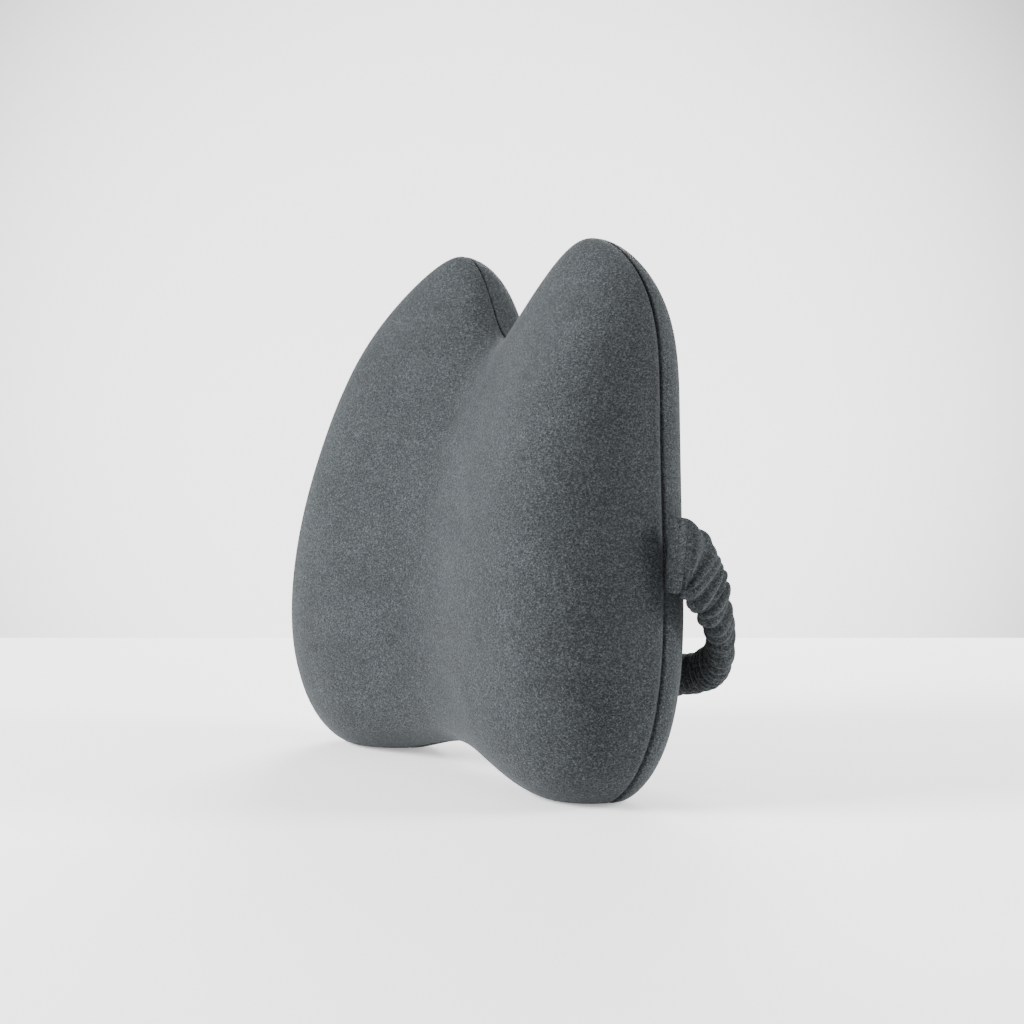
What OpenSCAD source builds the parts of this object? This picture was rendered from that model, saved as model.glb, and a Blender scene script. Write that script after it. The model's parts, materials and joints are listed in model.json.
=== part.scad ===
// Lumbar support cushion: moulded foam core, sewn liner, zipped knit cover
// and an elastic strap in a gathered sleeve. Millimetres, Z up, -Y towards the sitter.

/* [Outline of the side seam, one half] */
// Height of the arch between the two feet
arch_z = 51; // [44:1:56]
// Foot, sideways
foot_x = 123; // [115:1:130]
// Foot, height
foot_z = -1; // [-6:1:4]
// Hip, sideways
hip_x = 181; // [172:1:188]
// Hip, height
hip_z = 30; // [22:1:38]
// Waist, sideways, the widest place
waist_x = 197; // [185:1:205]
// Waist, height
waist_z = 105; // [95:1:120]
// Flank, sideways
flank_x = 166; // [156:1:174]
// Flank, height
flank_z = 242; // [230:1:255]
// Shoulder, sideways
shoulder_x = 159; // [150:1:166]
// Shoulder, height
shoulder_z = 330; // [320:1:338]
// Crown of a top lobe, sideways
crown_x = 59; // [52:1:66]
// Crown of a top lobe, height
crown_z = 386; // [378:1:394]
// Notch between the top lobes, sideways
notch_x = 21; // [17:1:25]
// Notch between the top lobes, height
notch_z = 297; // [288:1:305]

/* [Depth of the cushion] */
// Greatest depth in front of the seam
front_depth = 80; // [65:1:115]
// Height at which the front is deepest
fullest_z = 155; // [140:1:170]
// Share of the depth lost at the top
thin_top = 0.7; // [0.5:0.02:0.8]
// Share of the depth lost at the bottom
thin_bottom = 0.33; // [0.25:0.01:0.45]
// Depth behind the seam
back_depth = 35; // [28:1:42]
// Share of the depth that the spine channel takes at the fullest height
channel_mid = 0.32; // [0.2:0.02:0.4]
// Share of the depth that the spine channel takes at the top
channel_top = 0.56; // [0.4:0.02:0.7]
// Share of the depth that the spine channel takes at the bottom
channel_bottom = 0.28; // [0.2:0.02:0.45]
// Half width of the spine channel
channel_w = 85; // [65:1:90]
// Angle at which the cushion leans back
lean_angle = 6; // [0:0.5:8]
// How far the feet are pressed flat by the cushion's weight
foot_flat = 5; // [3:0.5:7]

/* [Layers] */
// Thickness of the knit cover
cover_t = 2; // [1.6:0.1:2.4]
// Depth of the groove at the side seam
groove = 0.8; // [0.6:0.1:1.0]
// Thickness of the inner liner
liner_t = 0.6; // [0.5:0.1:0.8]
// Air between two layers
layer_gap = 0.2; // [0.2:0.05:0.3]
// Slack between the liner and the rear of the cover, where the zip runs
rear_slack = 2.5; // [2.5:0.1:3.5]
// Radius of the seam thread
thread_r = 0.2; // [0.16:0.01:0.22]

/* [Zip] */
// Height of the zip on the back, before the cushion leans
zip_z = 214; // [200:1:225]
// Length of the zip between its end stops
zip_len = 236; // [200:2:250]
// Width of the fabric opening over the teeth
zip_window = 13; // [12:0.5:15]
// Width of one tape
tape_w = 12.5; // [11:0.5:14]
// Pitch of the teeth
tooth_pitch = 2.8; // [2.4:0.1:3.4]

/* [Strap] */
// Width of the gathered sleeve behind the cushion
strap_w = 24; // [22:1:28]
// Thickness of the gathered sleeve behind the cushion
strap_t = 16; // [13:0.5:17]
// Width of the sleeve where it is spread and sewn into the side seam
root_w = 44; // [38:1:48]
// Thickness of the sleeve where it is sewn into the side seam
root_t = 6.5; // [6:0.5:7]
// Width of the elastic inside the sleeve
elastic_w = 16; // [12:1:17]
// Thickness of the elastic
elastic_t = 1.6; // [1.2:0.1:2]
// Height of the sewn ends above the resting plane
strap_z = 151; // [145:1:157]

/* [Hidden] */

charcoal = [0.2, 0.21, 0.22];
near_black = [0.1, 0.1, 0.11];
off_white = [0.86, 0.85, 0.82];
foam_cream = [0.9, 0.86, 0.72];

centre_z = 157;              // middle of the rings that run round the body
ref_h = 350;                 // height at which thin_top and channel_top apply in full
ref_r = 170;                 // radius at which a layer's inset is exact
front_rings = 12;
rear_rings = 7;
span_steps = 5;              // outline points per control point
ring_bunch = 1.7;            // crowds the rings towards the seam
front_round = 7;
front_power = 1 / 2.5;
rear_round = 9.4;
rear_power = 0.5;
liner_inset = cover_t + layer_gap;
foam_inset = liner_inset + liner_t + layer_gap;

// ---- outline: a closed B-spline round its control points ----
half_ctrl = [[foot_x, foot_z], [hip_x, hip_z], [waist_x, waist_z], [flank_x, flank_z],
    [shoulder_x, shoulder_z], [crown_x, crown_z], [notch_x, notch_z]];
ctrl = concat([[0, arch_z]], half_ctrl,
    [for (i = [len(half_ctrl) - 1 : -1 : 0]) [-half_ctrl[i][0], half_ctrl[i][1]]]);
function spline_point(a, b, c, d, t) =
    (pow(1 - t, 3) * a + (3 * pow(t, 3) - 6 * t * t + 4) * b
        + (-3 * pow(t, 3) + 3 * t * t + 3 * t + 1) * c + pow(t, 3) * d) / 6;
function closed_spline(p, steps) = [for (i = [0 : len(p) - 1]) for (s = [0 : steps - 1])
    spline_point(p[(i + len(p) - 1) % len(p)], p[i], p[(i + 1) % len(p)],
        p[(i + 2) % len(p)], s / steps)];
seam = closed_spline(ctrl, span_steps);
n_seam = len(seam);

// ---- the two crowned surfaces, before the cushion leans ----
function ring_at(i, rings) = 1 - pow(i / rings, ring_bunch);
function ring_xz(i, k, inset) = [0, centre_z]
    + k * (1 - inset / ref_r) * (seam[(i + n_seam) % n_seam] - [0, centre_z]);
function above(z) = max(0, (z - fullest_z) / (ref_h - fullest_z));
function below(z) = max(0, (fullest_z - z) / fullest_z);
function channel(z) = channel_mid + (channel_top - channel_mid) * pow(above(z), 2)
    + (channel_bottom - channel_mid) * pow(below(z), 2);
function depth_at(x, z) = front_depth
    * (1 - thin_top * pow(above(z), 2) - thin_bottom * pow(below(z), 2))
    * (1 - channel(z) * exp(-pow(x / channel_w, 2)));
function front_bulge(k) = pow(1 - pow(k, front_round), front_power);
function rear_bulge(k) = pow(1 - pow(k, rear_round), rear_power);
// lip is how far the surface stands off the seam plane at the seam itself
function front_point(i, k, inset, lip) = let(p = ring_xz(i, k, inset))
    [p[0], -lip - (depth_at(p[0], p[1]) - inset - lip) * front_bulge(k), p[1]];
function rear_point(i, k, inset, lip, slack) = let(p = ring_xz(i, k, inset))
    [p[0], lip + (back_depth - inset - slack - lip) * rear_bulge(k), p[1]];

// ---- from the upright shape to the leaning, standing one ----
function leaned(p) = [p[0], p[1] * cos(lean_angle) + p[2] * sin(lean_angle),
    p[2] * cos(lean_angle) - p[1] * sin(lean_angle)];
lowest = min([for (i = [0 : n_seam - 1]) for (r = [0 : rear_rings - 1])
    leaned(rear_point(i, ring_at(r, rear_rings), 0, groove, 0))[2]]);
drop = lowest + foot_flat;
foremost = min([for (i = [0 : n_seam - 1]) for (r = [0 : front_rings])
    leaned(front_point(i, ring_at(r, front_rings), 0, groove))[1]]);
strap_back_y = 87;           // middle of the strap behind the seam's foot
shift_y = -(foremost + strap_back_y + strap_t / 2) / 2;
function standing(p, inset) = let(q = leaned(p))
    [q[0], q[1] + shift_y, max(q[2] - drop, max(inset, 0))];

// ---- closed skin between an outer and an inner surface, front or rear ----
function ring_row(front, r, rings, inset, lip, slack) = [for (i = [0 : n_seam - 1])
    standing(front ? front_point(i, ring_at(r, rings), inset, lip)
        : rear_point(i, ring_at(r, rings), inset, lip, slack), inset)];
function seam_row(inset) = [for (i = [0 : n_seam - 1])
    standing([ring_xz(i, 1, inset)[0], 0, ring_xz(i, 1, inset)[1]], inset)];
function apex(front, inset, slack) = standing(front
    ? [0, -(depth_at(0, centre_z) - inset), centre_z]
    : [0, back_depth - inset - slack, centre_z], inset);
// quads between successive rows of n points that each close on themselves; from row swap_at on
// they are split along their other diagonal, so that nested layers split alike and stay apart
function tube_faces(rows, n, swap_at = 1e6) = [for (r = [0 : rows - 2]) for (i = [0 : n - 1])
    let(a = r * n + i, b = r * n + (i + 1) % n)
        each r < swap_at ? [[a, b, b + n], [a, b + n, a + n]] : [[a, b, a + n], [b, b + n, a + n]]];
function cap_faces(first, n, tip, flip) = [for (i = [0 : n - 1])
    flip ? [first + (i + 1) % n, first + i, tip] : [first + i, first + (i + 1) % n, tip]];
function turned(faces) = [for (f = faces) [f[2], f[1], f[0]]];

module dome_skin(front, rings, outer, inner, lip, slack) {
    outer_rows = [for (r = [rings - 1 : -1 : 0]) ring_row(front, r, rings, outer, lip, slack)];
    rim_row = lip > 0 ? [seam_row(outer + lip)] : [];
    inner_rows = [for (r = [0 : rings - 1]) ring_row(front, r, rings, inner, 0, slack)];
    rows = concat(outer_rows, rim_row, inner_rows);
    points = concat([for (row = rows) each row],
        [apex(front, outer, slack), apex(front, inner, slack)]);
    count = len(rows) * n_seam;
    faces = concat(tube_faces(len(rows), n_seam, len(outer_rows) + len(rim_row)),
        cap_faces(0, n_seam, count, true), cap_faces(count - n_seam, n_seam, count + 1, false));
    polyhedron(points = points, faces = front ? faces : turned(faces), convexity = 6);
}

// strip of skin over outline points i0 to i1, between two insets, running back from the seam
module rear_patch(i0, i1, k_end, steps, outer, inner) {
    n = i1 - i0 + 1;
    rows = concat(
        [for (s = [0 : steps]) [for (i = [i0 : i1])
            standing(rear_point(i, 1 - (1 - k_end) * s / steps, outer, groove, 0), 0)]],
        [for (s = [steps : -1 : 0]) [for (i = [i0 : i1])
            standing(rear_point(i, 1 - (1 - k_end) * s / steps, inner, groove, 0), 0)]]);
    m = len(rows);
    points = [for (row = rows) each row];
    sides = [for (r = [0 : m - 1]) for (i = [0 : n - 2])
        let(a = r * n + i, b = ((r + 1) % m) * n + i) each [[a, b, b + 1], [a, b + 1, a + 1]]];
    ends = [for (s = [0 : steps - 1]) let(a = s * n, b = (m - 1 - s) * n)
        each [[a, b, b - n], [a, b - n, a + n]]];
    far_ends = [for (f = turned(ends)) [f[0] + n - 1, f[1] + n - 1, f[2] + n - 1]];
    polyhedron(points = points, faces = turned(concat(sides, ends, far_ends)), convexity = 4);
}

// a frame whose Z axis points out of the back, X along the zip, origin on the flat of the back
module on_back(x, z) {
    translate([0, shift_y, -drop]) rotate([-lean_angle, 0, 0]) translate([x, back_depth, z])
        rotate([-90, 0, 0]) children();
}

// ---- foam, liner and cover ----
module foam_core() color(foam_cream) {
    front_rows = [for (r = [front_rings - 1 : -1 : 0])
        ring_row(true, r, front_rings, foam_inset, 0, rear_slack)];
    rear_rows = [for (r = [1 : rear_rings - 1])
        ring_row(false, r, rear_rings, foam_inset, 0, rear_slack)];
    rows = concat(front_rows, rear_rows);
    points = concat([for (row = rows) each row],
        [apex(true, foam_inset, rear_slack), apex(false, foam_inset, rear_slack)]);
    count = len(rows) * n_seam;
    faces = concat(tube_faces(len(rows), n_seam, front_rings - 1), cap_faces(0, n_seam, count, true),
        cap_faces(count - n_seam, n_seam, count + 1, false));
    polyhedron(points = points, faces = faces, convexity = 6);
}

module liner_front() color(off_white)
    dome_skin(true, front_rings, liner_inset, liner_inset + liner_t, 0, 0);

module liner_rear() color(off_white)
    dome_skin(false, rear_rings, liner_inset, liner_inset + liner_t, 0, rear_slack);

module cover_front_panel() color(charcoal)
    dome_skin(true, front_rings, 0, cover_t, groove, 0);

// the rear of the cover is cut in two along the zip
big = 500;
seam_slit = 0.2;
tape_t = 0.6;
tape_depth = 1.2;            // outer face of the tapes below the back's surface
module rear_cover_half(upper) {
    difference() {
        dome_skin(false, rear_rings, 0, cover_t, groove, 0);
        on_back(0, zip_z) translate([-big / 2, upper ? -seam_slit / 2 : seam_slit / 2 - big, -big / 2])
            cube([big, big, big]);
        on_back(0, zip_z) translate([-zip_len / 2 - 6, -zip_window / 2, -10])
            cube([zip_len + 12, zip_window, 20]);
        on_back(0, zip_z) translate([-zip_len / 2 - 8, -tape_w - 1, -tape_depth - 5])
            cube([zip_len + 16, 2 * tape_w + 2, 5.1]);
    }
}
module cover_rear_upper() color(charcoal) rear_cover_half(true);
module cover_rear_lower() color(charcoal) rear_cover_half(false);

// lockstitch thread that shows in the groove of the side seam
thread_sides = 4;
thread_inset = 0.27;
seam_normal = [0, cos(lean_angle), -sin(lean_angle)];
function outward(line, i) = let(along = line[(i + 1) % n_seam] - line[(i + n_seam - 1) % n_seam])
    cross(along / norm(along), seam_normal);
function thread_ring(line, i) = [for (s = [0 : thread_sides - 1]) let(a = 360 * s / thread_sides)
    line[i] + thread_r * (cos(a) * outward(line, i) + sin(a) * seam_normal)];
module side_seam_thread() color(near_black) {
    line = seam_row(thread_inset);
    points = [for (i = [0 : n_seam - 1]) each thread_ring(line, i)];
    faces = [for (i = [0 : n_seam - 1]) for (s = [0 : thread_sides - 1])
        let(next = (i + 1) % n_seam, s2 = (s + 1) % thread_sides,
            a = i * thread_sides + s, b = i * thread_sides + s2,
            c = next * thread_sides + s2, d = next * thread_sides + s) each [[a, b, c], [a, c, d]]];
    polyhedron(points = points, faces = faces, convexity = 6);
}

// care label, blank, sewn into the left side seam
label_first = 60;
label_last = 62;
label_reach = 0.965;         // ring at which the label's free edge lies
module care_label() color(off_white) rear_patch(label_first, label_last, label_reach, 3, -0.9, -0.4);

// ---- zip ----
post_gap = 0.8;              // from the zip's middle to the tips of either row of teeth
tooth_len = 2.1;
tooth_h = 1.5;
module zip_tape(side) {
    on_back(0, zip_z) translate([-zip_len / 2 - 7, side > 0 ? -tape_w - 0.7 : post_gap + 0.1,
        -tape_depth - tape_t]) cube([zip_len + 14, tape_w + 0.6 - post_gap, tape_t]);
}
module zip_tape_upper() color(near_black) zip_tape(1);
module zip_tape_lower() color(near_black) zip_tape(-1);

// a comb: a root strip with teeth that point at the other row
module zip_teeth(side) {
    count = floor(zip_len / tooth_pitch);
    root = 0.7;
    start = -count * tooth_pitch / 2 + (side > 0 ? 0 : tooth_pitch / 2);
    on_back(0, zip_z) translate([0, 0, -tape_depth]) linear_extrude(tooth_h)
        scale([1, -side]) union() {
            translate([-zip_len / 2 + 1, post_gap + tooth_len - root]) square([zip_len - 2, root]);
            for (i = [0 : count - 2])
                translate([start + i * tooth_pitch + 0.7, post_gap])
                    square([tooth_pitch * 0.5, tooth_len - root / 2]);
        }
}
module zip_teeth_upper() color(near_black) zip_teeth(1);
module zip_teeth_lower() color(near_black) zip_teeth(-1);

// metal stops clamped over the tapes past either end of the teeth
stop_w = 3;
module zip_end_stops() color("dimgray") for (end = [-1, 1])
    on_back(end * (zip_len / 2 + 2.5), zip_z)
        translate([-stop_w / 2, -3.4, -tape_depth]) cube([stop_w, 6.8, 1.4]);

// slider: upper and lower plates round the teeth, joined by the post between the rows
slider_len = 11;
slider_w = 8.6;
plate_t = 1.1;
flange_t = 0.8;
run_gap = 0.35;
plate_top = tooth_h - tape_depth + run_gap + plate_t;
pin_r = 0.6;
pin_h = plate_top + 2.2;
lug_gap = 3.6;
lug_t = 1.1;
slider_x = zip_len / 2 - 8;
module zip_slider() color("silver") on_back(slider_x, zip_z) {
    translate([-slider_len / 2, -slider_w / 2, plate_top - plate_t]) cube([slider_len, slider_w, plate_t]);
    for (side = [-1, 1]) translate([-slider_len / 2, side > 0 ? slider_w / 2 - flange_t : -slider_w / 2,
        -tape_depth + run_gap]) cube([slider_len, flange_t, plate_top + tape_depth - run_gap - 0.1]);
    translate([-slider_len / 2, -slider_w / 2, -tape_depth - tape_t - run_gap - plate_t])
        cube([slider_len, slider_w, plate_t]);
    translate([slider_len / 2 - 3.4, -0.4, -tape_depth - tape_t - run_gap - 0.2])
        cube([2.6, 0.8, plate_top + tape_depth + tape_t + run_gap]);
    for (side = [-1, 1]) translate([0, side * (lug_gap + lug_t) / 2, 0]) {
        translate([-1.3, -lug_t / 2, plate_top - 0.1]) cube([2.6, lug_t, pin_h - plate_top + 0.1]);
        translate([0, 0, pin_h]) rotate([90, 0, 0]) cylinder(h = lug_t, r = 1.3, center = true, $fn = 32);
    }
    translate([0, 0, pin_h]) rotate([90, 0, 0]) cylinder(h = lug_gap + 0.4, r = pin_r, center = true, $fn = 32);
}

// pull tab: an eye on the slider's pin and a flat finger tab with a slot
eye_r = 1.7;
eye_w = 2.8;
pull_len = 26;
pull_w = 7;
pull_t = 1.3;
module zip_pull_tab() color("silver") on_back(slider_x, zip_z) translate([0, 0, pin_h]) difference() {
    union() {
        rotate([90, 0, 0]) cylinder(h = eye_w, r = eye_r, center = true, $fn = 32);
        translate([-4.5, -eye_w / 2, -pull_t / 2]) cube([4.5, eye_w, pull_t]);
        translate([-pull_len + pull_w / 2, -pull_w / 2, -pull_t / 2])
            cube([pull_len - pull_w / 2 - 3.2, pull_w, pull_t]);
        translate([-pull_len + pull_w / 2, 0, 0]) cylinder(h = pull_t, r = pull_w / 2, center = true, $fn = 48);
    }
    rotate([90, 0, 0]) cylinder(h = eye_w + 2, r = pin_r + 0.25, center = true, $fn = 32);
    translate([-pull_len + pull_w / 2, 0, 0]) cylinder(h = pull_t + 2, r = 1.6, center = true, $fn = 32);
}

// ---- strap ----
// route of the strap's middle line, right half, measured from the foot of the seam plane
strap_route = [[193.5, 17, 0], [194, 24, -2.5], [194, 32, -10], [192.5, 41.5, -23],
    [188.5, 51, -36], [181.5, 59.5, -49], [171.5, 67, -60], [158, 74, -70], [137, 80, -78],
    [104, 84.5, -84], [54, 86.5, -87], [0, 87, -88]];
route_steps = 3;
run_end = 8 * route_steps;   // where the side run hands over to the middle
joint_slit = 0.4;
route_last = len(strap_route) - 1;
function on_route(i) = i <= route_last ? strap_route[max(0, i)]
    : let(p = strap_route[2 * route_last - i]) [-p[0], p[1], p[2]];
function smooth_route(i, t) = let(a = on_route(i - 1), b = on_route(i), c = on_route(i + 1),
    d = on_route(i + 2)) 0.5 * (2 * b + (c - a) * t + (2 * a - 5 * b + 4 * c - d) * t * t
        + (3 * b - a - 3 * c + d) * t * t * t) + [0, shift_y, strap_z];
function route_point(s) = smooth_route(floor(s / route_steps), (s % route_steps) / route_steps);
function unit(v) = v / norm(v);
function route_dir(s) = unit(route_point(s + 1) - route_point(max(s - 1, 0)));
function upright(d) = unit([0, 0, 1] - d[2] * d);
// how far the sleeve has gathered from its spread root, 0 to 1, at step s
gather_steps = 6 * route_steps;
function gathered(s) = let(f = min(1, min(s, 2 * route_last * route_steps - s) / gather_steps))
    f * f * (3 - 2 * f);
function sleeve_w(s) = root_w + (strap_w - root_w) * gathered(s);
function sleeve_t(s) = root_t + (strap_t - root_t) * gathered(s);
// round-edged section of the given width and thickness
section_sides = 12;
function section_at(s, w, t, slide) = let(d = route_dir(s), u = upright(d),
    v = cross(d, u), c = route_point(s) + d * slide)
    [for (j = [0 : section_sides - 1]) let(a = 360 * (j + 0.5) / section_sides)
        c + u * (w / 2) * sign(sin(a)) * pow(abs(sin(a)), 0.7)
            + v * (t / 2) * sign(cos(a)) * pow(abs(cos(a)), 0.8)];
// trim is how far the rows at either end are pulled back along the route
function trim_at(s, s0, s1) = s == s0 && s0 > 0 ? joint_slit / 2 : s == s1 ? -joint_slit / 2 : 0;
module elastic_band(s0, s1) {
    rows = [for (s = [s0 : s1]) section_at(s, elastic_w, elastic_t, trim_at(s, s0, s1))];
    n = section_sides;
    last = (len(rows) - 1) * n;
    faces = concat(tube_faces(len(rows), n), [[for (j = [n - 1 : -1 : 0]) j]],
        [[for (j = [0 : n - 1]) last + j]]);
    polyhedron(points = [for (row = rows) each row], faces = faces, convexity = 4);
}
// the gathered sleeve, a tube with the elastic's lumen through it
module sleeve(s0, s1) {
    n = section_sides;
    outer = [for (s = [s0 : s1]) section_at(s, sleeve_w(s), sleeve_t(s), trim_at(s, s0, s1))];
    inner = [for (s = [s1 : -1 : s0]) section_at(s, sleeve_w(s) - 2 * sleeve_wall,
        sleeve_t(s) - 2 * sleeve_wall, trim_at(s, s0, s1))];
    rows = concat(outer, inner);
    m = len(rows);
    faces = [for (r = [0 : m - 1]) for (j = [0 : n - 1])
        let(a = r * n + j, b = r * n + (j + 1) % n, c = ((r + 1) % m) * n + (j + 1) % n,
            d = ((r + 1) % m) * n + j) each [[a, b, c], [a, c, d]]];
    polyhedron(points = [for (row = rows) each row], faces = faces, convexity = 6);
}
sleeve_wall = 1.6;
middle_end = 2 * route_last * route_steps - run_end;
module strap_sleeve_right() color(near_black) sleeve(0, run_end);
module strap_sleeve_left() color(near_black) mirror([1, 0, 0]) strap_sleeve_right();
module strap_sleeve_middle() color(near_black) sleeve(run_end, middle_end);
module strap_elastic_right() color(off_white) elastic_band(0, run_end);
module strap_elastic_left() color(off_white) mirror([1, 0, 0]) strap_elastic_right();
module strap_elastic_middle() color(off_white) elastic_band(run_end, middle_end);

// flattened strap ends, sewn into the side seam and lying on the side of the cover
tab_first = 16;
tab_last = 18;
tab_reach = 0.96;            // ring at which the tabs end
tab_t = 2.3;
tab_clear = 0.3;
module strap_tab_right() color(near_black)
    rear_patch(tab_first, tab_last, tab_reach, 3, -tab_clear - tab_t, -tab_clear);
module strap_tab_left() color(near_black) mirror([1, 0, 0]) strap_tab_right();

// bar tacks across each tab
tack_low = -tab_clear - tab_t - 0.05;
tack_high = tack_low - 0.45;
tack_half = 0.002;           // half of a tack's width, as a share of the ring
module strap_tab_stitching() color("dimgray") for (side = [0, 1]) mirror([side, 0, 0])
    for (k = [0.99, 0.97]) tack_bar(tab_first, tab_last, k);
module tack_bar(i0, i1, k) {
    n = i1 - i0 + 1;
    rows = [for (e = [[k + tack_half, tack_low], [k + tack_half, tack_high],
            [k - tack_half, tack_high], [k - tack_half, tack_low]])
        [for (i = [i0 : i1]) standing(rear_point(i, e[0], e[1], groove, 0), 0)]];
    points = [for (row = rows) each row];
    sides = [for (r = [0 : 3]) for (i = [0 : n - 2])
        let(a = r * n + i, b = ((r + 1) % 4) * n + i) each [[a, b, b + 1], [a, b + 1, a + 1]]];
    faces = concat(sides, [[0, 3 * n, 2 * n], [0, 2 * n, n]],
        [[n - 1, 2 * n - 1, 3 * n - 1], [n - 1, 3 * n - 1, 4 * n - 1]]);
    polyhedron(points = points, faces = turned(faces), convexity = 2);
}

foam_core();
liner_front();
liner_rear();
cover_front_panel();
cover_rear_upper();
cover_rear_lower();
side_seam_thread();
zip_tape_upper();
zip_tape_lower();
zip_teeth_upper();
zip_teeth_lower();
zip_end_stops();
zip_slider();
zip_pull_tab();
strap_tab_right();
strap_tab_left();
strap_tab_stitching();
strap_sleeve_right();
strap_sleeve_left();
strap_sleeve_middle();
strap_elastic_right();
strap_elastic_left();
strap_elastic_middle();
care_label();
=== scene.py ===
"""Looks of the lumbar support cushion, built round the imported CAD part.

Shapes are worked out in millimetres from the same formulas as the CAD and written in metres.
"""
import json
import math
import random

import bmesh
import bpy
import numpy as np
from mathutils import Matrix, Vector


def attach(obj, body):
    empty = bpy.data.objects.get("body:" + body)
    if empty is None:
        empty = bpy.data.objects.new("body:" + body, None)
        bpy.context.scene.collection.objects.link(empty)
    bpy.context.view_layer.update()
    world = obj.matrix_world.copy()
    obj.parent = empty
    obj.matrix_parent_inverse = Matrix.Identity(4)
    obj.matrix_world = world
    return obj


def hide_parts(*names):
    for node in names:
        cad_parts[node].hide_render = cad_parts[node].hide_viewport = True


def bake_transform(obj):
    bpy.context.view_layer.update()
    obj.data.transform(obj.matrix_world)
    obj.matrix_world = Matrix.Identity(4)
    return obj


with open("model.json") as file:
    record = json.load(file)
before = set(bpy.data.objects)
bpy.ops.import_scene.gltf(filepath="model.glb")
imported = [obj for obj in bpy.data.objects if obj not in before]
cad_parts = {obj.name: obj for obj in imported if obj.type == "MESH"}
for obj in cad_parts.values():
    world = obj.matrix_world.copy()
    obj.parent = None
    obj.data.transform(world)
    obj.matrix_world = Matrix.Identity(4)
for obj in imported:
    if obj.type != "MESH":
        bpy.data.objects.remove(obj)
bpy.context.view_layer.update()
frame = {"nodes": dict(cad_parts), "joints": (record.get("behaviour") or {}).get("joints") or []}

MM = 0.001
LEAN = math.radians(6)
CENTRE_Z = 157.0             # middle of the rings that run round the body
REF_RADIUS = 170             # radius at which a layer's inset is exact
JOINTS = {j["name"]: j for j in frame["joints"]}
STRAP_ROOT = np.array(JOINTS["strap_swing"]["pos_m"]) / MM
SHIFT_Y = STRAP_ROOT[1] - 17.0
BACK_DEPTH = 35.0
FRONT_DEPTH = 80             # greatest depth in front of the seam
FULLEST_Z = 155              # height at which the front is deepest
THIN_TOP = 0.7               # shares of the depth lost towards the top and the bottom
THIN_BOTTOM = 0.33
CHANNEL_MID = 0.32           # share of the depth that the spine channel takes
CHANNEL_TOP_GAIN = 0.24      # how much more it takes at the top
CHANNEL_BOTTOM_LOSS = 0.04   # how much less it takes at the bottom
CHANNEL_W = 85               # half width of the channel
FRONT_ROUND = 7              # how squarely the front and the rear turn in at the seam
FRONT_POWER = 1 / 2.5
REAR_ROUND = 9.4
LIP = 0.8                    # the surface stands this far off the seam plane at the seam
COVER_T = 2.0
LINER_INSET = 2.2
FOAM_INSET = 3.0
REAR_SLACK = 2.5
ZIP_Z = 214.0
ZIP_LEN = 236.0
ZIP_WINDOW = 13.0


# ---------------------------------------------------------------- outline and crowned surfaces
HALF_CTRL = [(123, -1), (181, 30), (197, 105), (166, 242), (159, 330), (59, 386), (21, 297)]
CTRL = np.array([(0, 51)] + HALF_CTRL + [(-x, z) for x, z in reversed(HALF_CTRL)], float)


def closed_spline(steps):
    """Points of the uniform cubic B-spline round CTRL."""
    t = (np.arange(steps) / steps)[:, None]
    rows = []
    for i in range(len(CTRL)):
        a, b, c, d = CTRL[i - 1], CTRL[i], CTRL[(i + 1) % len(CTRL)], CTRL[(i + 2) % len(CTRL)]
        rows.append(((1 - t) ** 3 * a + (3 * t ** 3 - 6 * t ** 2 + 4) * b
                     + (-3 * t ** 3 + 3 * t ** 2 + 3 * t + 1) * c + t ** 3 * d) / 6)
    return np.vstack(rows)


def depth_at(x, z):
    up = np.maximum(0, (z - FULLEST_Z) / 195)
    down = np.maximum(0, (FULLEST_Z - z) / FULLEST_Z)
    channel = CHANNEL_MID + CHANNEL_TOP_GAIN * up ** 2 - CHANNEL_BOTTOM_LOSS * down ** 2
    thinned = FRONT_DEPTH * (1 - THIN_TOP * up ** 2 - THIN_BOTTOM * down ** 2)
    return thinned * (1 - channel * np.exp(-(x / CHANNEL_W) ** 2))


def ring_points(steps, k, inset, front, lip=LIP, slack=0.0):
    """One ring of a surface, before the cushion leans: n x 3."""
    xz = np.array([0, CENTRE_Z]) + k * (1 - inset / REF_RADIUS) * (closed_spline(steps) - [0, CENTRE_Z])
    x, z = xz[:, 0], xz[:, 1]
    if front:
        bulge = max(0.0, 1 - k ** FRONT_ROUND) ** FRONT_POWER
        y = -lip - (depth_at(x, z) - inset - lip) * bulge
    else:
        bulge = math.sqrt(max(0.0, 1 - k ** REAR_ROUND))
        y = lip + (BACK_DEPTH - inset - slack - lip) * bulge * np.ones_like(x)
    return np.stack([x, y, z], 1)


def leaned(p):
    y, z = p[..., 1], p[..., 2]
    return np.stack([p[..., 0], y * math.cos(LEAN) + z * math.sin(LEAN),
                     z * math.cos(LEAN) - y * math.sin(LEAN)], -1)


DROP = 5 + min(leaned(ring_points(5, 1 - (r / 7) ** 1.7, 0, False))[:, 2].min() for r in range(7))


def standing(p, floor=0.0):
    """Leaned, stood on the floor, with the feet pressed softly flat."""
    q = leaned(np.asarray(p, float))
    z = q[..., 2] - DROP - floor
    pressed = (z + np.sqrt(z * z + 1.5 ** 2)) / 2 + floor
    return np.stack([q[..., 0], q[..., 1] + SHIFT_Y, pressed], -1)


# ---------------------------------------------------------------- mesh helpers
def new_object(name, points_mm, faces, material=None, smooth=True):
    mesh = bpy.data.meshes.new(name)
    mesh.from_pydata((np.asarray(points_mm) * MM).tolist(), [], faces)
    mesh.validate()
    mesh.polygons.foreach_set("use_smooth", [smooth] * len(mesh.polygons))
    mesh.update()
    obj = bpy.data.objects.new(name, mesh)
    bpy.context.scene.collection.objects.link(obj)
    if material:
        mesh.materials.append(material)
    return obj


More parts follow.
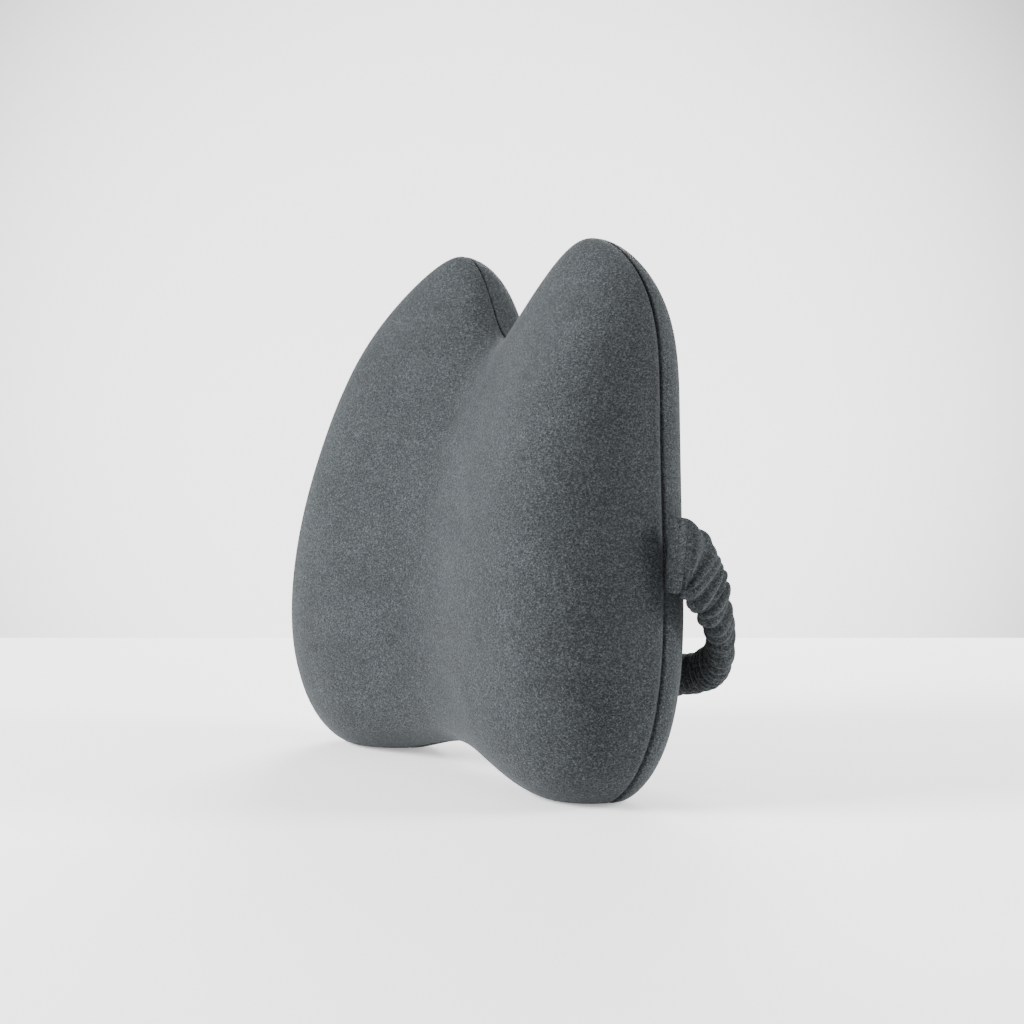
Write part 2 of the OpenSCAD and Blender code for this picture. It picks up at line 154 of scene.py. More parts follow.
def outward_faces(obj):
    bm = bmesh.new()
    bm.from_mesh(obj.data)
    bmesh.ops.recalc_face_normals(bm, faces=bm.faces)
    bm.to_mesh(obj.data)
    bm.free()
    obj.data.update()


def apply_modifiers(obj):
    graph = bpy.context.evaluated_depsgraph_get()
    mesh = bpy.data.meshes.new_from_object(obj.evaluated_get(graph))
    old = obj.data
    obj.modifiers.clear()
    obj.data = mesh
    bpy.data.meshes.remove(old)


def rows_mesh(name, rows, material=None, wrap=False, tips=()):
    """Closed rings joined in turn; wrap joins the last to the first; tips close either end at a point."""
    n = len(rows[0])
    m = len(rows)
    points = np.vstack(list(rows) + [np.asarray(t, float)[None] for t in tips])
    faces = []
    for r in range(m if wrap else m - 1):
        a0, b0 = r * n, ((r + 1) % m) * n
        for i in range(n):
            j = (i + 1) % n
            faces.append((a0 + i, a0 + j, b0 + j, b0 + i))
    if tips:
        first, last = m * n, m * n + 1
        faces += [((i + 1) % n, i, first) for i in range(n)]
        faces += [((m - 1) * n + i, (m - 1) * n + (i + 1) % n, last) for i in range(n)]
    obj = new_object(name, points, faces, material)
    outward_faces(obj)
    return obj


# ---------------------------------------------------------------- cloth pass over the cover
SIM_STEPS = 7                # outline points per control point in the simulated shell
SIM_FRONT = np.linspace(1, 0, 15) ** 0.75
SIM_REAR = np.linspace(1, 0, 11) ** 0.6
SIM_SINK = 2.5               # how far inside the final shape the simulated shell starts
SIM_CAP = 4.0


def sim_grid(front):
    ks = SIM_FRONT if front else SIM_REAR
    rows = []
    for k in ks[:-1]:
        p = ring_points(SIM_STEPS, k, 0, front)
        sink = SIM_SINK * (1 - k ** 6)
        p[:, 1] += sink if front else -sink
        rows.append(p)
    return ks, rows


def cloth_offsets():
    """Outward swell of the cover at each simulated ring and outline point, front and rear, in mm."""
    steps_n = SIM_STEPS * len(CTRL)
    (ks_f, front_rows), (ks_r, rear_rows) = sim_grid(True), sim_grid(False)
    zero = (np.zeros((len(ks_f), steps_n)), np.zeros((len(ks_r), steps_n)))
    seam_row = ring_points(SIM_STEPS, 1, 0, True, lip=0)
    seam_row[:, 1] = 0
    tip_f = [0, -(float(depth_at(0, CENTRE_Z)) - SIM_SINK), CENTRE_Z]
    tip_r = [0, BACK_DEPTH - SIM_SINK, CENTRE_Z]
    rows = front_rows[::-1] + [seam_row] + rear_rows
    shell = rows_mesh("cloth_shell", rows, tips=(tip_f, tip_r))
    start = np.array([v.co for v in shell.data.vertices]) / MM
    pin = shell.vertex_groups.new(name="pin")
    first = len(front_rows) * steps_n
    pin.add(list(range(first, first + steps_n)), 1.0, "REPLACE")
    near = [first - steps_n + i for i in range(steps_n)] + [first + steps_n + i for i in range(steps_n)]
    pin.add(near, 0.6, "REPLACE")
    cloth = shell.modifiers.new("Cloth", "CLOTH")
    s = cloth.settings
    s.quality = 6
    s.mass = 0.4
    s.tension_stiffness = s.compression_stiffness = 25
    s.shear_stiffness = 8
    s.bending_stiffness = 4
    s.use_pressure = True
    s.uniform_pressure_force = 4
    s.vertex_group_mass = "pin"
    s.effector_weights.gravity = 0
    cloth.point_cache.frame_start = 1
    cloth.point_cache.frame_end = 20
    scene = bpy.context.scene
    for f in range(1, 21):
        scene.frame_set(f)
    graph = bpy.context.evaluated_depsgraph_get()
    mesh = shell.evaluated_get(graph).data
    end = np.array([v.co for v in mesh.vertices]) / MM
    normals = np.array([v.normal for v in shell.data.vertices])
    moved = np.einsum("ij,ij->i", end - start, normals)
    moved = np.clip(moved, -SIM_CAP, SIM_CAP)
    bpy.data.objects.remove(shell)
    scene.frame_set(1)
    grid = moved[:len(rows) * steps_n].reshape(len(rows), steps_n)
    nf = len(front_rows)
    front, rear = zero
    front[:nf] = grid[:nf][::-1]
    front[nf] = moved[-2]
    rear[:len(rear_rows)] = grid[nf + 1:]
    rear[len(rear_rows)] = moved[-1]
    front[0] = rear[0] = 0
    for g, ks in ((front, ks_f), (rear, ks_r)):
        g -= SIM_SINK * (1 - ks[:, None] ** 6)
        g[0] = 0
        for _ in range(2):
            g[1:-1] = (g[:-2] + 2 * g[1:-1] + g[2:]) / 4
            g[:] = (np.roll(g, 1, 1) + 2 * g + np.roll(g, -1, 1)) / 4
    return front, rear


SWELL_FRONT, SWELL_REAR = cloth_offsets()


def swell(front, k, steps):
    """The simulated swell at ring k for a ring of the given density, by interpolation."""
    ks, grid = (SIM_FRONT, SWELL_FRONT) if front else (SIM_REAR, SWELL_REAR)
    f = np.interp(k, ks[::-1], np.arange(len(ks))[::-1])
    r0 = min(int(f), len(ks) - 2)
    row = grid[r0] * (1 - (f - r0)) + grid[r0 + 1] * (f - r0)
    at = np.arange(steps * len(CTRL)) / steps * SIM_STEPS
    return np.interp(at, np.arange(len(row) + 1), np.append(row, row[0]))


def zip_shelter(p):
    """0 round the zip and on the flat behind it, where the fabric lies on its tapes, and 1 away from it."""
    away = np.hypot(np.maximum(0, np.abs(p[:, 0]) - ZIP_LEN / 2), p[:, 2] - ZIP_Z)
    t = np.clip((away - 16) / 45, 0, 1)
    return t * t * (3 - 2 * t)


def surface_ring(front, k, inset, lip=LIP, slack=0.0, steps=20):
    """A ring of the swollen surface, before the cushion leans."""
    p = ring_points(steps, k, inset, front, lip, slack)
    s = swell(front, k, steps)
    if front:
        p[:, 1] -= s
    else:
        p[:, 1] += s * zip_shelter(p)
    return p


# ---------------------------------------------------------------- materials
def material(name):
    m = bpy.data.materials.new(name)
    m.use_nodes = True
    nodes = m.node_tree.nodes
    return m, nodes, m.node_tree.links, nodes["Principled BSDF"]


def add(nodes, kind, **values):
    n = nodes.new(kind)
    for key, value in values.items():
        if key in n.inputs:
            n.inputs[key].default_value = value
        else:
            setattr(n, key, value)
    return n


def ramp(nodes, stops):
    n = nodes.new("ShaderNodeValToRGB")
    while len(n.color_ramp.elements) < len(stops):
        n.color_ramp.elements.new(0.5)
    for e, (pos, colour) in zip(n.color_ramp.elements, stops):
        e.position = pos
        e.color = (*colour, 1)
    return n


def tex_coord(nodes, links, scale=(1, 1, 1)):
    c = nodes.new("ShaderNodeTexCoord")
    m = nodes.new("ShaderNodeMapping")
    m.inputs["Scale"].default_value = scale
    links.new(c.outputs["Object"], m.inputs["Vector"])
    return m.outputs["Vector"]


def math_node(nodes, links, op, a, b):
    n = nodes.new("ShaderNodeMath")
    n.operation = op
    for socket, value in zip(n.inputs, (a, b)):
        if hasattr(value, "is_output"):
            links.new(value, socket)
        else:
            socket.default_value = value
    return n.outputs[0]


def fabric(name, dark, light, grain=560, contrast=0.17, bump=0.4, sheen=0.12, roughness=0.92,
           stretch=(1, 1, 1.3), tone=0.1, loop_gap_shade=0.12, rib_scale=800):
    """Melange yarn: short worm-like light and dark flecks over slow tone changes, with a knit bump and
    painted shade darkening the gaps between the knit loops.
    """
    m, nodes, links, bsdf = material(name)
    at = tex_coord(nodes, links, stretch)
    fleck = add(nodes, "ShaderNodeTexNoise", Scale=grain, Detail=3.0, Roughness=0.62, Distortion=1.1)
    slow = add(nodes, "ShaderNodeTexNoise", Scale=28.0, Detail=3.0, Roughness=0.55)
    loops = add(nodes, "ShaderNodeTexVoronoi", Scale=rib_scale, feature="SMOOTH_F1")
    loops.inputs["Smoothness"].default_value = 0.6
    for n in (fleck, slow, loops):
        links.new(at, n.inputs["Vector"])
    mixed = math_node(nodes, links, "ADD", fleck.outputs["Fac"],
                      math_node(nodes, links, "MULTIPLY",
                                math_node(nodes, links, "SUBTRACT", slow.outputs["Fac"], 0.5), tone))
    # painted shade: the colour is darkened towards the edge of each knit loop, where the bump sinks between
    # the loops
    mixed = math_node(nodes, links, "SUBTRACT", mixed,
                      math_node(nodes, links, "MULTIPLY", loops.outputs["Distance"], loop_gap_shade))
    r = ramp(nodes, [(0.5 - contrast, dark), (0.5, [(a + b) / 2.3 for a, b in zip(dark, light)]),
                     (0.5 + contrast, light)])
    links.new(mixed, r.inputs["Fac"])
    links.new(r.outputs["Color"], bsdf.inputs["Base Color"])
    rough = add(nodes, "ShaderNodeMapRange")
    rough.inputs["To Min"].default_value = roughness - 0.08
    rough.inputs["To Max"].default_value = min(1.0, roughness + 0.06)
    links.new(fleck.outputs["Fac"], rough.inputs["Value"])
    links.new(rough.outputs["Result"], bsdf.inputs["Roughness"])
    height = math_node(nodes, links, "SUBTRACT", fleck.outputs["Fac"],
                       math_node(nodes, links, "MULTIPLY", loops.outputs["Distance"], 0.8))
    b = add(nodes, "ShaderNodeBump", Strength=bump, Distance=0.0008)
    links.new(height, b.inputs["Height"])
    links.new(b.outputs["Normal"], bsdf.inputs["Normal"])
    bsdf.inputs["Sheen Weight"].default_value = sheen
    bsdf.inputs["Sheen Roughness"].default_value = 0.45
    bsdf.inputs["Sheen Tint"].default_value = (0.75, 0.8, 0.85, 1)
    bsdf.inputs["Specular IOR Level"].default_value = 0.15
    return m


def woven(name, dark, light, pitch, bump=0.5, sheen=0.2, roughness=0.8, axes=(0, 2)):
    """Plain weave or tape: two crossed wave sets with yarn noise; in the colour the crossings leave painted
    shade between the yarns, and the yarn noise is the yarn's own tone.
    """
    m, nodes, links, bsdf = material(name)
    at = tex_coord(nodes, links)
    warp = add(nodes, "ShaderNodeTexWave", bands_direction="XYZ"[axes[0]], Scale=0.5 / pitch,
               Distortion=0.6, Detail=1.0)
    weft = add(nodes, "ShaderNodeTexWave", bands_direction="XYZ"[axes[1]], Scale=0.5 / pitch,
               Distortion=0.6, Detail=1.0)
    yarn = add(nodes, "ShaderNodeTexNoise", Scale=1.2 / pitch, Detail=2.0)
    for n in (warp, weft, yarn):
        links.new(at, n.inputs["Vector"])
    # painted shade: the colour is darker where the crossed waves are low, between the yarns, the same
    # places where the bump sinks; the yarn noise adds the yarn's own tone
    cross = math_node(nodes, links, "MULTIPLY", warp.outputs["Fac"], weft.outputs["Fac"])
    total = math_node(nodes, links, "ADD", math_node(nodes, links, "MULTIPLY", cross, 0.5),
                      math_node(nodes, links, "MULTIPLY", yarn.outputs["Fac"], 0.5))
    r = ramp(nodes, [(0.1, dark), (0.75, light)])
    links.new(total, r.inputs["Fac"])
    links.new(r.outputs["Color"], bsdf.inputs["Base Color"])
    rough = add(nodes, "ShaderNodeMapRange")
    rough.inputs["To Min"].default_value = roughness - 0.1
    rough.inputs["To Max"].default_value = min(1.0, roughness + 0.08)
    links.new(yarn.outputs["Fac"], rough.inputs["Value"])
    links.new(rough.outputs["Result"], bsdf.inputs["Roughness"])
    b = add(nodes, "ShaderNodeBump", Strength=bump, Distance=0.0003)
    links.new(total, b.inputs["Height"])
    links.new(b.outputs["Normal"], bsdf.inputs["Normal"])
    bsdf.inputs["Sheen Weight"].default_value = sheen
    bsdf.inputs["Specular IOR Level"].default_value = 0.25
    return m


def metal(name, colour, roughness=0.32):
    """Plated zinc with fine scuffs and slightly darker wear."""
    m, nodes, links, bsdf = material(name)
    at = tex_coord(nodes, links)
    scuff = add(nodes, "ShaderNodeTexNoise", Scale=1400.0, Detail=4.0, Distortion=0.8)
    wear = add(nodes, "ShaderNodeTexNoise", Scale=160.0, Detail=3.0)
    links.new(at, scuff.inputs["Vector"])
    links.new(at, wear.inputs["Vector"])
    r = ramp(nodes, [(0.35, [c * 0.7 for c in colour]), (0.6, colour)])
    links.new(wear.outputs["Fac"], r.inputs["Fac"])
    links.new(r.outputs["Color"], bsdf.inputs["Base Color"])
    rough = add(nodes, "ShaderNodeMapRange")
    rough.inputs["To Min"].default_value = roughness - 0.1
    rough.inputs["To Max"].default_value = roughness + 0.22
    links.new(scuff.outputs["Fac"], rough.inputs["Value"])
    links.new(rough.outputs["Result"], bsdf.inputs["Roughness"])
    b = add(nodes, "ShaderNodeBump", Strength=0.12, Distance=0.0001)
    links.new(scuff.outputs["Fac"], b.inputs["Height"])
    links.new(b.outputs["Normal"], bsdf.inputs["Normal"])
    bsdf.inputs["Metallic"].default_value = 1.0
    return m


def plastic(name, colour, roughness=0.42):
    """Moulded plastic with a faint grain."""
    m, nodes, links, bsdf = material(name)
    at = tex_coord(nodes, links)
    grain = add(nodes, "ShaderNodeTexNoise", Scale=2500.0, Detail=2.0)
    cloud = add(nodes, "ShaderNodeTexNoise", Scale=120.0, Detail=2.0)
    links.new(at, grain.inputs["Vector"])
    links.new(at, cloud.inputs["Vector"])
    r = ramp(nodes, [(0.3, [c * 0.75 for c in colour]), (0.7, [min(1, c * 1.2) for c in colour])])
    links.new(cloud.outputs["Fac"], r.inputs["Fac"])
    links.new(r.outputs["Color"], bsdf.inputs["Base Color"])
    rough = add(nodes, "ShaderNodeMapRange")
    rough.inputs["To Min"].default_value = roughness - 0.08
    rough.inputs["To Max"].default_value = roughness + 0.15
    links.new(grain.outputs["Fac"], rough.inputs["Value"])
    links.new(rough.outputs["Result"], bsdf.inputs["Roughness"])
    b = add(nodes, "ShaderNodeBump", Strength=0.15, Distance=0.0001)
    links.new(grain.outputs["Fac"], b.inputs["Height"])
    links.new(b.outputs["Normal"], bsdf.inputs["Normal"])
    return m


def foam_material(name):
    """Open-cell foam: cream, with small pores."""
    m, nodes, links, bsdf = material(name)
    at = tex_coord(nodes, links)
    cells = add(nodes, "ShaderNodeTexVoronoi", Scale=900.0)
    cloud = add(nodes, "ShaderNodeTexNoise", Scale=40.0, Detail=4.0)
    links.new(at, cells.inputs["Vector"])
    links.new(at, cloud.inputs["Vector"])
    pores = math_node(nodes, links, "MULTIPLY", cells.outputs["Distance"], 0.7)
    clouds = math_node(nodes, links, "MULTIPLY", cloud.outputs["Fac"], 0.5)
    total = math_node(nodes, links, "ADD", pores, clouds)
    r = ramp(nodes, [(0.15, (0.86, 0.78, 0.56)), (0.8, (0.66, 0.57, 0.36))])
    links.new(total, r.inputs["Fac"])
    links.new(r.outputs["Color"], bsdf.inputs["Base Color"])
    rough = add(nodes, "ShaderNodeMapRange")
    rough.inputs["To Min"].default_value = 0.85
    rough.inputs["To Max"].default_value = 1.0
    links.new(cells.outputs["Distance"], rough.inputs["Value"])
    links.new(rough.outputs["Result"], bsdf.inputs["Roughness"])
    b = add(nodes, "ShaderNodeBump", Strength=0.6, Distance=0.0006)
    links.new(cells.outputs["Distance"], b.inputs["Height"])
    links.new(b.outputs["Normal"], bsdf.inputs["Normal"])
    return m


KNIT = fabric("cover_knit", (0.0085, 0.0098, 0.0106), (0.064, 0.073, 0.078), grain=860,
              contrast=0.13, sheen=0.09, rib_scale=1050)
# painted shade: the strap is the cover's knit, given a slightly darker copy of its colours for the shade it
# sits in
STRAP_CLOTH_SHADED = fabric("strap_cloth", (0.0080, 0.0092, 0.0098), (0.060, 0.068, 0.072), grain=860,
                     contrast=0.13, bump=0.35, sheen=0.06)
LINER = woven("liner_cloth", (0.55, 0.54, 0.50), (0.80, 0.79, 0.75), 0.0009)
ELASTIC = woven("elastic_braid", (0.45, 0.45, 0.43), (0.82, 0.82, 0.79), 0.0012, bump=0.8)
TAPE = woven("zip_tape_weave", (0.008, 0.008, 0.009), (0.035, 0.035, 0.038), 0.0008)
THREAD = woven("thread_twist", (0.006, 0.006, 0.007), (0.030, 0.031, 0.033), 0.0005, bump=0.7)
LABEL = woven("label_satin", (0.52, 0.51, 0.48), (0.80, 0.79, 0.76), 0.0006, bump=0.25, sheen=0.4,
              roughness=0.5)
TEETH = plastic("zip_teeth_moulded", (0.020, 0.020, 0.022))
ZINC = metal("zip_zinc", (0.30, 0.30, 0.31))
FOAM = foam_material("foam_cells")


# ---------------------------------------------------------------- cover, liner and foam
STEPS = 20                   # outline points per control point in the finished surfaces
SHOULDER = 1.5               # radius by which the fabric turns in at the seam
ALLOWANCE = 6.0              # how far the seam allowance runs inside


def seam_depths():
    """Ring sizes from the seam inwards: crowded at the seam, even over the crown."""
    near = 1 - 0.10 * (np.arange(0, 25) / 24) ** 2.4
    return np.concatenate([near, np.linspace(0.9, 0.03, 26)[1:]])


def skin(name, front, outer, inner, mat, slack=0.0, shoulder=SHOULDER, steps=STEPS):
    """Closed shell: outer surface with a rounded shoulder at the seam, allowance, inner surface."""
    rows = []
    for k in seam_depths():
        lip = 0.15 if shoulder else 0.0
        p = surface_ring(front, k, outer, lip, 0.0 if shoulder else slack, steps)
        if shoulder:
            off = np.abs(p[:, 1])
            short = np.clip(1 - (off - 0.15) / shoulder, 0, 1)
            pull = shoulder * (1 - np.sqrt(1 - short ** 2)) * 1.15
            middle = np.array([0, 0, CENTRE_Z])
            flat = p - middle
            flat[:, 1] = 0
            p = p - flat / np.linalg.norm(flat, axis=1)[:, None] * pull[:, None]
        rows.append(standing(p))
    outer_tip = surface_ring(front, 0.0, outer, LIP, 0.0 if shoulder else slack, steps)[0]
    inner_rows = []
    if shoulder:
        for deep in (2.6, 4.2, ALLOWANCE):
            q = ring_points(steps, 1, outer + deep, front, 0.15)
            inner_rows.append(standing(q, deep * 0.6))
    start = ALLOWANCE / REF_RADIUS if shoulder else 0.0
    for k in np.linspace(1 - start * 0.6, 0.05, 16):
        if shoulder and k > 0.985:
            continue
        inner_rows.append(standing(surface_ring(front, k, inner, 0.15, slack, steps), inner))
    inner_tip = surface_ring(front, 0.0, inner, 0, slack, steps)[0]
    all_rows = rows[::-1] + inner_rows
    return rows_mesh(name, all_rows, mat, tips=(standing(outer_tip), standing(inner_tip)))


def on_back(x, across, out):
    """A point in the frame of the zip: x along it, across up the back, out of the back; in mm."""
    return standing([x, BACK_DEPTH + out, ZIP_Z + across])


def back_box(name, x0, x1, a0, a1, o0, o1):
    corners = [(x, a, o) for x in (x0, x1) for a in (a0, a1) for o in (o0, o1)]
    points = [on_back(x, a, o) for x, a, o in corners]
    faces = [(0, 1, 3, 2), (4, 6, 7, 5), (0, 4, 5, 1), (2, 3, 7, 6), (0, 2, 6, 4), (1, 5, 7, 3)]
    obj = new_object(name, points, faces, smooth=False)
    outward_faces(obj)
    return obj


def cut(obj, cutters, keep_inside=False):
    for c in cutters:
        b = obj.modifiers.new("cut", "BOOLEAN")
        b.operation = "INTERSECT" if keep_inside else "DIFFERENCE"
        b.solver = "EXACT"
        b.object = c
    apply_modifiers(obj)
    for c in cutters:
        bpy.data.objects.remove(c)


cover_front = skin("cover_front", True, 0.0, COVER_T, KNIT)
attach(cover_front, "cushion")
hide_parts("cover_front_panel")

for upper, node in ((True, "cover_rear_upper"), (False, "cover_rear_lower")):
    half = skin("cover_rear_" + ("top" if upper else "base"), False, 0.0, COVER_T, KNIT)
    lo_a, hi_a = (-400, 0.05) if upper else (-0.05, 400)
    cut(half, [back_box("cut_half", -300, 300, lo_a, hi_a, -120, 60),
               back_box("cut_window", -ZIP_LEN / 2 - 6, ZIP_LEN / 2 + 6, -ZIP_WINDOW / 2, ZIP_WINDOW / 2,
                        -12, 12)])
    half.data.materials.clear()
    half.data.materials.append(KNIT)
    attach(half, "cushion")
    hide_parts(node)

liner_parts = []
for front, node in ((True, "liner_front"), (False, "liner_rear")):
    slack = 0.0 if front else REAR_SLACK
    part = skin(node + "_cloth", front, LINER_INSET, LINER_INSET + 0.6, LINER, slack, 0.0, 10)
    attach(part, "cushion")
    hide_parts(node)
    liner_parts.append(part)

foam_rows = [standing(surface_ring(True, k, FOAM_INSET, 0, 0, 10), FOAM_INSET)
             for k in np.linspace(0.04, 0.999, 22)]
foam_rows += [standing(surface_ring(False, k, FOAM_INSET, 0, REAR_SLACK, 10), FOAM_INSET)
              for k in np.linspace(0.99, 0.05, 14)]
foam_tips = (standing(surface_ring(True, 0.0, FOAM_INSET, 0, 0, 10)[0]),
             standing(surface_ring(False, 0.0, FOAM_INSET, 0, REAR_SLACK, 10)[0]))
foam = rows_mesh("foam_block", foam_rows, FOAM, tips=foam_tips)
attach(foam, "cushion")
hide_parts("foam_core")


# ---------------------------------------------------------------- tubes along a line
def tube(name, line, radius, sides, mat, closed=False):
    """A round thread along line (n x 3, mm); radius may vary by point."""
    line = np.asarray(line, float)
    n = len(line)
    radius = np.broadcast_to(radius, (n,))
    if closed:
        along = np.roll(line, -1, 0) - np.roll(line, 1, 0)
    else:
        along = np.gradient(line, axis=0)
    along /= np.linalg.norm(along, axis=1)[:, None]
    ref = np.array([0.0, math.cos(LEAN), -math.sin(LEAN)])
    side = np.cross(along, ref)
    bad = np.linalg.norm(side, axis=1) < 0.2
    side[bad] = np.cross(along[bad], [1.0, 0, 0.3])
    side /= np.linalg.norm(side, axis=1)[:, None]
    up = np.cross(side, along)
    rows = []
    for i in range(n):
        a = 2 * math.pi * (np.arange(sides) + 0.5) / sides
        rows.append(line[i] + radius[i] * (np.cos(a)[:, None] * side[i] + np.sin(a)[:, None] * up[i]))
    if closed:
        return rows_mesh(name, rows, mat, wrap=True)
    return rows_mesh(name, rows, mat, tips=(line[0] - along[0] * radius[0] * 0.6,
                                            line[-1] + along[-1] * radius[-1] * 0.6))


def join(name, objs):
    """One object out of several, by mesh."""
    bm = bmesh.new()
    for o in objs:
        bm.from_mesh(o.data)
    mesh = bpy.data.meshes.new(name)
    bm.to_mesh(mesh)
    bm.free()
    mesh.materials.append(objs[0].data.materials[0])
    mesh.polygons.foreach_set("use_smooth", [True] * len(mesh.polygons))
    for o in objs:
        bpy.data.objects.remove(o)
    obj = bpy.data.objects.new(name, mesh)
    bpy.context.scene.collection.objects.link(obj)
    return obj


def resample(line, pitch, closed=False):
    """Points at an even spacing near pitch along a polyline."""
    pts = np.vstack([line, line[:1]]) if closed else np.asarray(line, float)
    run = np.concatenate([[0], np.cumsum(np.linalg.norm(np.diff(pts, axis=0), axis=1))])
    count = max(2, int(round(run[-1] / pitch)))
    at = np.linspace(0, run[-1], count + 1)
    if closed:
        at = at[:-1]
    return np.stack([np.interp(at, run, pts[:, i]) for i in range(3)], 1)


# seam thread: lockstitches that rise and sink in the groove of the side seam
STITCH = 3.0
groove_line = closed_spline(STEPS)
groove_line = np.stack([groove_line[:, 0], 0 * groove_line[:, 0], groove_line[:, 1]], 1)
fine = resample(groove_line, STITCH / 6, closed=True)
phase = np.arange(len(fine)) % 6 / 6
centre = np.array([0, 0, CENTRE_Z])
inward = fine - centre
inward /= np.linalg.norm(inward, axis=1)[:, None]
fine = fine - inward * (2.1 + 0.35 * np.cos(2 * math.pi * phase))[:, None]
seam_thread = tube("seam_lockstitch", standing(fine, 0.4), 0.26, 6, THREAD, closed=True)
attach(seam_thread, "cushion")
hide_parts("side_seam_thread")


def stitch_row(name, line, pitch, gap, radius, mat, lift):
    """Separate topstitches along a line that lies on the back; each one dips at its ends."""
    pts = resample(line, pitch)
    made = []
    for a, b in zip(pts[:-1], pts[1:]):
        t = np.linspace(gap / 2, 1 - gap / 2, 6)
        seg = a + (b - a) * t[:, None]
        seg[:, 2] += lift * np.sin(math.pi * np.linspace(0, 1, 6)) - 0.1
        made.append(tube("s", [on_back(*q) for q in seg], radius, 6, mat))
    return join(name, made)


# ---------------------------------------------------------------- zip on the back
edge = ZIP_WINDOW / 2
half_run = ZIP_LEN / 2 + 6
for side, word in ((1, "upper"), (-1, "lower")):
    # folded edge of the fabric along the window
    fold = [on_back(x, side * (edge + 0.5), -0.55) for x in np.linspace(-half_run - 1, half_run + 1, 130)]
    lip = tube("zip_fold_" + word, fold, 1.05, 10, KNIT)
    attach(lip, "cushion")
    sew = [(x, side * (edge + 3.0), 0.12) for x in (-half_run + 1, half_run - 1)]
    stitches = stitch_row("zip_topstitch_" + word, sew, 3.2, 0.25, 0.26, THREAD, 0.22)
    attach(stitches, "cushion")


def soften(node, mat, width, segments=2):
    """A CAD node keeps its mesh and gets rounded edges and a finish."""
    obj = frame["nodes"][node]
    obj.data.materials.clear()
    obj.data.materials.append(mat)
    weld = obj.modifiers.new("weld", "WELD")
    weld.merge_threshold = 1e-6
    bevel = obj.modifiers.new("bevel", "BEVEL")
    bevel.width = width * MM
    bevel.segments = segments
    bevel.limit_method = "ANGLE"
    bevel.angle_limit = math.radians(35)
    obj.data.polygons.foreach_set("use_smooth", [False] * len(obj.data.polygons))
    return obj


soften("zip_tape_upper", TAPE, 0.12, 1)
soften("zip_tape_lower", TAPE, 0.12, 1)
soften("zip_teeth_upper", TEETH, 0.25)
soften("zip_teeth_lower", TEETH, 0.25)
soften("zip_end_stops", ZINC, 0.3)
soften("zip_slider", ZINC, 0.25, 3)
soften("zip_pull_tab", ZINC, 0.3, 3)


# ---------------------------------------------------------------- strap
ROUTE = np.array([[193.5, 0, 0], [194, 7, -2.5], [194, 15, -10], [192.5, 24.5, -23],
                  [188.5, 34, -36], [181.5, 42.5, -49], [171.5, 50, -60], [158, 57, -70],
                  [137, 63, -78], [104, 67.5, -84], [54, 69.5, -87], [0, 70, -88]], float)
FULL_ROUTE = np.vstack([ROUTE, (ROUTE[:-1] * [-1, 1, 1])[::-1]])
ROUTE_LAST = len(ROUTE) - 1
RUN_END = 8
ROOT_CUT = 3.2               # route position where the root piece hands over to the side run


def route_at(f):
    """The strap's middle line at route position f, in the row frame, mm."""
    n = len(FULL_ROUTE)
    i = int(min(max(math.floor(f), 0), n - 2))
    t = f - i
    a, b = FULL_ROUTE[max(0, i - 1)], FULL_ROUTE[i]
    c, d = FULL_ROUTE[i + 1], FULL_ROUTE[min(n - 1, i + 2)]
    p = 0.5 * (2 * b + (c - a) * t + (2 * a - 5 * b + 4 * c - d) * t * t
               + (3 * b - a - 3 * c + d) * t ** 3)
    return p + STRAP_ROOT


FINE_F = np.linspace(0, 2 * ROUTE_LAST, 1201)
FINE_P = np.array([route_at(f) for f in FINE_F])
FINE_S = np.concatenate([[0], np.cumsum(np.linalg.norm(np.diff(FINE_P, axis=0), axis=1))])
STRAP_RUN = FINE_S[-1]


def run_at(f):
    return float(np.interp(f, FINE_F, FINE_S))


def gather_at(s):
    f = np.interp(s, FINE_S, FINE_F)
    g = np.clip(np.minimum(f, 2 * ROUTE_LAST - f) / 6, 0, 1)
    return g * g * (3 - 2 * g)


class Folds:
    """Creases round the gathered sleeve: each has a place, a slant and a depth that fades round it."""

    def __init__(self, seed):
        rng = random.Random(seed)
        self.creases = []
        s = 2.5
        while s < STRAP_RUN - 2:
            near_root = min(s, STRAP_RUN - s)
            broad = max(0.0, 1 - near_root / 75)
            pitch = rng.uniform(4.4, 7.0) + broad * rng.uniform(0.6, 2.2)
            self.creases.append({
                "at": s, "slant": rng.uniform(-3.6, 3.6) * (0.5 + 0.7 * broad),
                "turn": rng.uniform(0, 2 * math.pi),
                "wobble": rng.uniform(-1.3, 1.3), "turn2": rng.uniform(0, 2 * math.pi),
                "depth": rng.uniform(2.2, 3.8) * (1 + 0.8 * broad), "fade": rng.uniform(0, 2 * math.pi),
                "share": rng.uniform(0.1, 0.8), "width": rng.uniform(1.3, 2.1) * (1 + 0.5 * broad)})
            s += pitch
        self.full = []

    def deep_at(self, s, depth=3.0, width=1.6):
        """A full crease all the way round, where two pieces meet."""
        self.full.append((s, depth, width))

    def height(self, s, a):
        """Radial offset at run s for the angles a."""
        h = np.zeros_like(a)
        for c in self.creases:
            if abs(c["at"] - s) > 14:
                continue
            at = c["at"] + c["slant"] * np.sin(a + c["turn"]) + c["wobble"] * np.sin(2 * a + c["turn2"])
            d = np.abs(s - at)
            fade = 1 - c["share"] * (0.5 + 0.5 * np.cos(a - c["fade"]))
            h -= c["depth"] * fade * np.exp(-(d / c["width"]) ** 1.5)
        for at, depth, width in self.full:
            if abs(at - s) < 12:
                h -= depth * np.exp(-(abs(s - at) / width) ** 1.15)
        return 5.6 * np.tanh(h / 5.6) + 1.6


